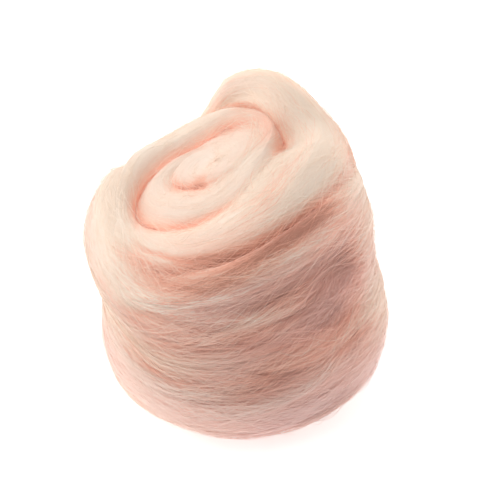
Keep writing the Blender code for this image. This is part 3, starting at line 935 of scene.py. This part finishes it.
class Strands:
    """Flat fibres laid over the band, in groups that share a piece."""

    def __init__(self, name, segments):
        self.name = name
        self.segments = segments
        self.points, self.tints = [], []

    def lay(self, row, column, length, slant, bow, wave, lift, rise, width, roll, tone, paler,
            own_length=1.0, own_slant=0.0, own_bow=0.0, own_rise=1.0, curled=0.0):
        """Lay a fibre along the winding through each place, of measures drawn as draw says.

        Slant is across for each millimetre along, and a fibre is bowed and waved across. It lies
        lift above the wool, and rise higher in its middle, or at its far end for a curled share of
        them. What a clump has of its own multiplies or is added to its fibres' measures.
        """
        count = len(row)
        length = own_length * draw(count, length)
        slant, bow = own_slant + draw(count, slant), own_bow + draw(count, bow)
        wave, lift = draw(count, wave), draw(count, lift)
        rise = own_rise * draw(count, rise)
        width, roll = draw(count, width), draw(count, roll)
        tone = paler + draw(count, tone)
        t = np.linspace(0.0, 1.0, self.segments + 1)[None]
        s = (t - 0.5) * length[:, None]
        bulge = np.sin(np.pi * t)
        if curled:
            bulge = np.where(spread((count, 1), 0.0, 1.0) < curled, t * t, bulge)
        wave_length = spread((count, 1), *WAVE_LENGTHS)
        phase = spread((count, 1), 0.0, 2 * np.pi)
        w = (slant[:, None] * s + bow[:, None] * 4 * t * (1 - t)
             + wave[:, None] * np.sin(2 * np.pi * s / wave_length + phase))
        rows = row[:, None] + s / ROW_STEP
        columns = column[:, None] + w / column_step(row, column)[:, None]
        whole = (rows >= 0.0).all(axis=1)
        rows, columns = onward(rows, columns)
        normal = unit(read_grid(band.normals, rows, columns))
        ends = END_DIP * (1.0 - np.minimum(1.0, 6.0 * np.minimum(t, 1 - t)))
        height = lift[:, None] + rise[:, None] * bulge - ends
        path = read_grid(band.points, rows, columns) + normal * height[..., None]
        self.add_ribbons(path[whole], normal[whole], t, width[whole], roll[whole])
        self.add_tints(read_grid(band.tints, rows, columns)[whole], tone[whole])

    def bridge(self, count, turns, leans, lower, upper, length, lift, width, tone, paler):
        """Lay fibres across the groove between one turn and the next one out.

        Each runs along the winding by length, from lower columns inside the groove's inner lip to
        upper columns past the start of the outer lip. Its lean is -1 if it starts from the outer one.
        """
        turn, lean = draw(count, turns), random.choice(leans, count)
        lower, upper, length = draw(count, lower), draw(count, upper), draw(count, length)
        lift, width, tone = draw(count, lift), draw(count, width), paler + draw(count, tone)
        t = np.linspace(0.0, 1.0, self.segments + 1)[None]
        part = np.where(lean[:, None] > 0, t, 1.0 - t)
        s = (t - 0.5) * length[:, None]
        crossing = climb(part, 0.25, 0.75)[..., None]
        here = (row_of(turn)[:, None] + s / ROW_STEP, LIP_END - 1 - lower[:, None] * (1.0 - part))
        there = (row_of(turn + 360.0)[:, None] + s / ROW_STEP, LIP_START + upper[:, None] * part)

        def across(grid):
            return read_grid(grid, *here) * (1 - crossing) + read_grid(grid, *there) * crossing

        normal = unit(across(band.normals))
        height = lift[:, None] * np.sin(np.pi * t) - BRIDGE_DIP
        path = across(band.points) + normal * height[..., None]
        self.add_ribbons(path, normal, t, width, draw(count, 0.3))
        self.add_tints(across(band.tints), tone)

    def sprout(self, row, column, length, stand, heading, width, tone):
        """Let short hairs grow out of the wool, standing up by an angle and bent over as they go."""
        t = np.linspace(0.0, 1.0, self.segments + 1)[None]
        root = read_grid(band.points, row, column)
        normal = unit(read_grid(band.normals, row, column))
        ahead = unit(read_grid(band.points, row + 1.0, column) - root)
        aside = np.cross(normal, ahead)
        lean = ahead * np.cos(heading)[:, None] + aside * np.sin(heading)[:, None]
        angle = stand[:, None] * (1.0 - 0.7 * t)
        out = length[:, None] * t * np.sin(angle) - ROOT_DEPTH
        over = length[:, None] * t * np.cos(angle)
        path = root[:, None] + normal[:, None] * out[..., None] + lean[:, None] * over[..., None]
        normals = np.broadcast_to(normal[:, None], path.shape)
        self.add_ribbons(path, normals, t, width, spread(len(row), 0.0, np.pi))
        here = read_grid(band.tints, row, column)[:, None]
        self.add_tints(np.repeat(here, self.segments + 1, axis=1), tone)

    def add_tints(self, here, tone):
        """Carry the painted tints of the wool under each fibre along it, paler or darker by its tone."""
        here[..., 0] = np.clip(here[..., 0] + tone[:, None], 0.0, 1.0)
        self.tints.append(here)

    def bake_map(self, count, places):
        """A small cell of the map for each fibre, which runs up it."""
        side = int(np.ceil(np.sqrt(count)))
        cell = np.arange(count)
        left, low = (cell % side)[:, None], (cell // side)[:, None]
        step = np.linspace(*CELL_LENGTH, places)[None]
        start, end = low + step[:, :-1], low + step[:, 1:]
        v = np.stack((start, start, end, end), axis=-1)
        u = np.stack([left + edge for edge in (*CELL, *CELL[::-1])], axis=-1)
        u = np.broadcast_to(u, v.shape)
        return np.stack((u, v), axis=-1).reshape(-1, 2) / side

    def add_ribbons(self, path, normal, t, width, roll):
        """Keep a flat ribbon along each path, rolled about it and thinner at its tips."""
        tangent = unit(np.gradient(path, axis=1))
        aside = np.cross(tangent, normal)
        facing = np.cross(aside, tangent)
        full = TIP_SHARE + TIP_TAPER * np.sqrt(np.maximum(0.0, t * (1 - t)))
        half = width[:, None] / 2 * np.minimum(1.0, full)
        turned = aside * np.cos(roll)[:, None, None] + facing * np.sin(roll)[:, None, None]
        turned = turned * half[..., None]
        ribbon = np.stack((path - turned, path + turned), axis=2)
        ribbon[..., 2] = np.maximum(ribbon[..., 2], LEAST_HEIGHT)
        self.points.append(ribbon)

    def make(self):
        """Make the strands' piece."""
        ribbons = np.concatenate(self.points)
        count, places = ribbons.shape[:2]
        index = np.arange(count * places * 2).reshape(count, places, 2)
        faces = np.stack((index[:, :-1, 0], index[:, :-1, 1], index[:, 1:, 1], index[:, 1:, 0]),
                         axis=-1).reshape(-1, 4)
        tints = np.repeat(np.concatenate(self.tints)[:, :, None], 2, axis=2)
        made = mesh_object(self.name, ribbons.reshape(-1, 3), faces, tints, fibre_material)
        add_map(made, "OFBake", self.bake_map(count, places))
        made.visible_shadow = False
        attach(made, "root")
        return made


random = np.random.default_rng(7)


def spread(count, low, high):
    return random.uniform(low, high, count)


def draw(count, how):
    """Random values, between the two of a pair, or else about 0 and as wide as one says."""
    return spread(count, *how) if isinstance(how, tuple) else random.normal(0.0, how, count)


def scatter(count, rows, columns):
    """Places spread evenly over the wool that shows, within rows and columns of the band."""
    found_row, found_column = [], []
    most = COLUMN_STEPS[int(rows[0]):int(rows[1]), int(columns[0]):int(columns[1])].max()
    while sum(map(len, found_row)) < count:
        row, column = spread(4 * count, *rows), spread(4 * count, *columns)
        area = read_value(COLUMN_STEPS, row, column) / most
        keep = spread(4 * count, 0.0, 1.0) < read_value(band.shown, row, column) * area
        found_row.append(row[keep])
        found_column.append(column[keep])
    return np.concatenate(found_row)[:count], np.concatenate(found_column)[:count]


def fibres_of(row, column, clump, across):
    """Places of the fibres in clumps: each clump's own place, and how far aside each fibre lies."""
    row = np.repeat(row, clump) + draw(len(row) * clump, 3.0)
    column = np.repeat(column, clump)
    step = column_step(row, column)
    return row, column + draw(len(row), across) / step


CLEAR_MIDDLE = 6.0  # about the pole, where the turns are too tight for long fibres


def make_top_fibres():
    strands = Strands("top_fibres", 7)
    row, column = scatter(6000, (row_of(150.0), LAST_ROW), (LIP_START - 4, LIP_END + 12))
    middle = np.array(POLE) - band.shift[:2]
    off = np.linalg.norm(read_grid(band.points, row, column)[:, :2] - middle, axis=1) > CLEAR_MIDDLE
    strands.lay(row[off], column[off], length=(7.0, 18.0), slant=0.05, bow=0.3, wave=(0.0, 0.25),
                lift=(-0.03, 0.03), rise=(0.0, 0.06), width=(0.05, 0.11), roll=0.25, tone=0.06,
                paler=0.05)

    # across the grooves of the top
    strands.bridge(1300, turns=(180.0, 760.0), leans=(-1.0, 1.0), lower=(2.0, 18.0),
                   upper=(2.0, 18.0), length=(5.0, 14.0), lift=(0.0, 0.3), width=(0.05, 0.10),
                   tone=0.22, paler=0.05)
    return strands.make()


def make_side_fibres(name, clumps, clump, stray, paler, mottle, widest):
    """Fibres in clumps that lie along the side: stray is how far their directions differ.

    Paler is how much paler they are than the wool under them, and mottle how far clumps differ in it.
    """
    strands = Strands(name, 10)
    rows = (row_of(OUTER_TURN - 60.0), LAST_ROW)
    row, column = scatter(clumps, rows, (LIP_START, SIDE_END))
    length = np.repeat(draw(clumps, (14.0, 34.0)), clump)
    slant = np.repeat(swirl(row, column) + draw(clumps, stray), clump)
    bow = np.repeat(draw(clumps, 1.2), clump)
    rise = np.repeat(draw(clumps, (0.0, 0.4)), clump)
    tone = np.repeat(paler + 0.8 * patch(row, column) + draw(clumps, mottle), clump)
    row, column = fibres_of(row, column, clump, 0.9)
    strands.lay(row, column, length=(0.6, 1.1), slant=0.6 * stray, bow=0.8, wave=(0.0, 1.3),
                lift=(-0.05, 0.1), rise=(0.2, 0.8), width=(0.5 * widest, widest), roll=0.15,
                tone=0.06, paler=tone, own_length=length, own_slant=slant, own_bow=bow, own_rise=rise)
    return strands.make()


def make_fuzz():
    """Short fine hairs all over, which soften the roll's edges and its light."""
    strands = Strands("fuzz", 3)
    row, column = scatter(24000, (row_of(180.0), LAST_ROW - 1.0), (LIP_START, SIDE_END))
    n = len(row)
    strands.sprout(row, column, length=draw(n, (0.8, 3.2)), stand=np.radians(draw(n, (10.0, 55.0))),
                   heading=draw(n, 0.9) + np.pi * (draw(n, (0.0, 1.0)) < 0.4),
                   width=draw(n, (0.03, 0.06)), tone=0.2 + draw(n, 0.1))
    return strands.make()


def lay_wisps(strands, rows):
    clumps, clump = 260, 9
    row, column = scatter(clumps, rows, (LIP_END - 10, SIDE_END))
    length = np.repeat(draw(clumps, (16.0, 36.0)), clump)
    slant = np.repeat(draw(clumps, 0.24), clump)
    bow = np.repeat(draw(clumps, 1.8), clump)
    row, column = fibres_of(row, column, clump, 0.8)
    strands.lay(row, column, length=(0.5, 1.1), slant=0.09, bow=0.9, wave=(0.0, 0.8),
                lift=(0.1, 0.5), rise=(0.1, 0.9), width=(0.07, 0.15), roll=0.6, tone=0.12,
                paler=0.28, own_length=length, own_slant=slant, own_bow=bow)


def lay_hairs(strands, rows):
    # fine hairs that lie across the side at any slant
    row, column = scatter(2600, rows, (LIP_END - 20, SIDE_END))
    strands.lay(row, column, length=(8.0, 26.0), slant=0.75, bow=2.6, wave=(0.0, 1.2),
                lift=(0.1, 0.5), rise=(0.1, 0.9), width=(0.06, 0.12), roll=0.4, tone=0.14, paler=0.26)

    # stray hairs that stand off the wool
    row, column = scatter(1500, (row_of(700.0), LAST_ROW), (LIP_START, SIDE_END))
    strands.lay(row, column, length=(3.0, 12.0), slant=0.6, bow=1.2, wave=(0.0, 0.6),
                lift=(0.0, 0.3), rise=(0.3, 2.0), width=(0.05, 0.09), roll=(0.0, np.pi), tone=0.1,
                paler=0.4, curled=0.6)

    # a loose tangle over the hollow at the right
    row, column = scatter(120, (row_of(1378.0), row_of(1416.0)), (LIP_END - 12, LIP_END + 25))
    strands.lay(row, column, length=(6.0, 18.0), slant=0.7, bow=2.6, wave=(0.0, 1.4),
                lift=(0.3, 0.8), rise=(0.2, 1.2), width=(0.09, 0.15), roll=0.4, tone=0.12, paler=0.5)


def make_wisps():
    strands = Strands("wisps", 12)
    rows = (row_of(OUTER_TURN - 40.0), LAST_ROW)
    lay_wisps(strands, rows)

    # wisps across the edge of the outer wrap
    strands.bridge(1000, turns=(905.0, 1080.0), leans=(-1.0, 1.0, 1.0), lower=(2.0, 22.0),
                   upper=(3.0, 24.0), length=(10.0, 26.0), lift=(0.1, 0.7), width=(0.07, 0.14),
                   tone=0.12, paler=0.12)
    lay_hairs(strands, rows)
    return strands.make()


def make_tail():
    """Fibres that carry the wrap's end on, over the turn underneath."""
    strands = Strands("tail_fibres", 12)
    count = 1600
    row, column = LAST_ROW + draw(count, (-10.0, 3.0)), draw(count, (LIP_START + 3.0, SIDE_END - 1.0))
    strands.lay(row, column, length=(12.0, 30.0), slant=0.10, bow=1.0, wave=(0.0, 0.6),
                lift=(0.0, 0.15), rise=(0.0, 0.4), width=(0.10, 0.22), roll=0.3, tone=0.08, paler=0.05)
    return strands.make()


make_top_fibres()
make_side_fibres("side_fibres", 900, 8, stray=0.14, paler=0.0, mottle=0.14, widest=0.2)
make_side_fibres("side_fibres_over", 1700, 4, stray=0.38, paler=0.1, mottle=0.09, widest=0.11)
make_wisps()
make_fuzz()
make_tail()


# ---- camera, light and floor
ELEVATION = 40.0
PHOTO_SIZE = 480  # pixels across, and up
PHOTO_SCALE = 0.265  # millimetres to a pixel, at the roll
PHOTO_ORIGIN = (245.5, 363.0)  # pixel at which the winding's zero point stands
CAMERA_DISTANCE = 900.0
SENSOR = 36.0
FLOOR_SIZE = 8.0  # in metres, as are the places and sizes of the lights
FLOOR_WHITE = 0.95
FLOOR_GLOW = 0.5
OPEN_STRENGTH, DARK_STRENGTH = 0.92, 0.02  # of the studio all round, and on its dark side
DARK_SIDE = (0.38, -0.90, 0.21)  # towards the photographer
DARK_FROM, DARK_FULL = 0.15, 0.95  # how straight that way a direction points
LIGHT_AIM = (0.0, 0.0, 0.04)

# name, place, size, power in watts, colour
SOFTBOXES = (
    ("softbox_above", (-0.35, 0.10, 0.9), 0.8, 1.95, (1.0, 0.99, 0.98)),
    ("softbox_left", (-0.8, 0.35, 0.25), 0.6, 1.75, (1.0, 0.99, 0.98)),
    ("softbox_right", (0.8, 0.35, 0.25), 0.6, 2.0, (1.0, 0.98, 0.97)),
)


def make_camera():
    data = bpy.data.cameras.new("camera")
    data.sensor_width = SENSOR
    data.lens = SENSOR * CAMERA_DISTANCE / (PHOTO_SIZE * PHOTO_SCALE)
    data.clip_start, data.clip_end = 0.05, 20.0
    camera = bpy.data.objects.new("camera", data)
    bpy.context.scene.collection.objects.link(camera)
    tilt = np.radians(ELEVATION)
    right = (PHOTO_SIZE / 2 - PHOTO_ORIGIN[0]) * PHOTO_SCALE
    up = (PHOTO_ORIGIN[1] - PHOTO_SIZE / 2) * PHOTO_SCALE / np.cos(tilt)
    aim = np.array((right, 0.0, up)) - band.shift
    viewpoint = aim + CAMERA_DISTANCE * np.array((0.0, -np.cos(tilt), np.sin(tilt)))
    camera.location = Vector(viewpoint * MM)
    camera.rotation_euler = (np.pi / 2 - tilt, 0.0, 0.0)
    bpy.context.scene.camera = camera


def make_floor():
    bpy.ops.mesh.primitive_plane_add(size=FLOOR_SIZE, location=(0.0, 0.0, 0.0))
    floor = bpy.context.object
    floor.name = "floor"
    material = bpy.data.materials.new("floor")
    material.use_nodes = True
    set_inputs(material.node_tree.nodes["Principled BSDF"], Base_Color=(*[FLOOR_WHITE] * 3, 1.0),
               Roughness=0.9, Emission_Color=(1.0, 1.0, 1.0, 1.0), Emission_Strength=FLOOR_GLOW)
    floor.data.materials.append(material)


def area_light(name, location, size, power, colour):
    data = bpy.data.lights.new(name, "AREA")
    data.shape = "DISK"
    data.size = size
    data.energy = power
    data.color = colour
    light = bpy.data.objects.new(name, data)
    light.location = location
    towards = Vector(LIGHT_AIM) - Vector(location)
    light.rotation_euler = towards.to_track_quat("-Z", "Y").to_euler()
    bpy.context.scene.collection.objects.link(light)


def make_light():
    world = bpy.data.worlds.new("studio")
    world.use_nodes = True
    nodes, links = world.node_tree.nodes, world.node_tree.links
    background = nodes["Background"]
    background.inputs["Color"].default_value = (1.0, 1.0, 1.0, 1.0)
    towards = nodes.new("ShaderNodeTexCoord")
    facing = nodes.new("ShaderNodeVectorMath")
    facing.operation = "DOT_PRODUCT"
    facing.inputs[1].default_value = DARK_SIDE
    strength = nodes.new("ShaderNodeMapRange")
    strength.interpolation_type = "SMOOTHSTEP"
    set_inputs(strength, From_Min=DARK_FROM, From_Max=DARK_FULL, To_Min=OPEN_STRENGTH,
               To_Max=DARK_STRENGTH)
    links.new(towards.outputs["Generated"], facing.inputs[0])
    links.new(facing.outputs["Value"], strength.inputs["Value"])
    links.new(strength.outputs["Result"], background.inputs["Strength"])
    bpy.context.scene.world = world
    for softbox in SOFTBOXES:
        area_light(*softbox)


make_camera()
make_floor()
make_light()
bpy.context.scene.view_settings.view_transform = "Standard"
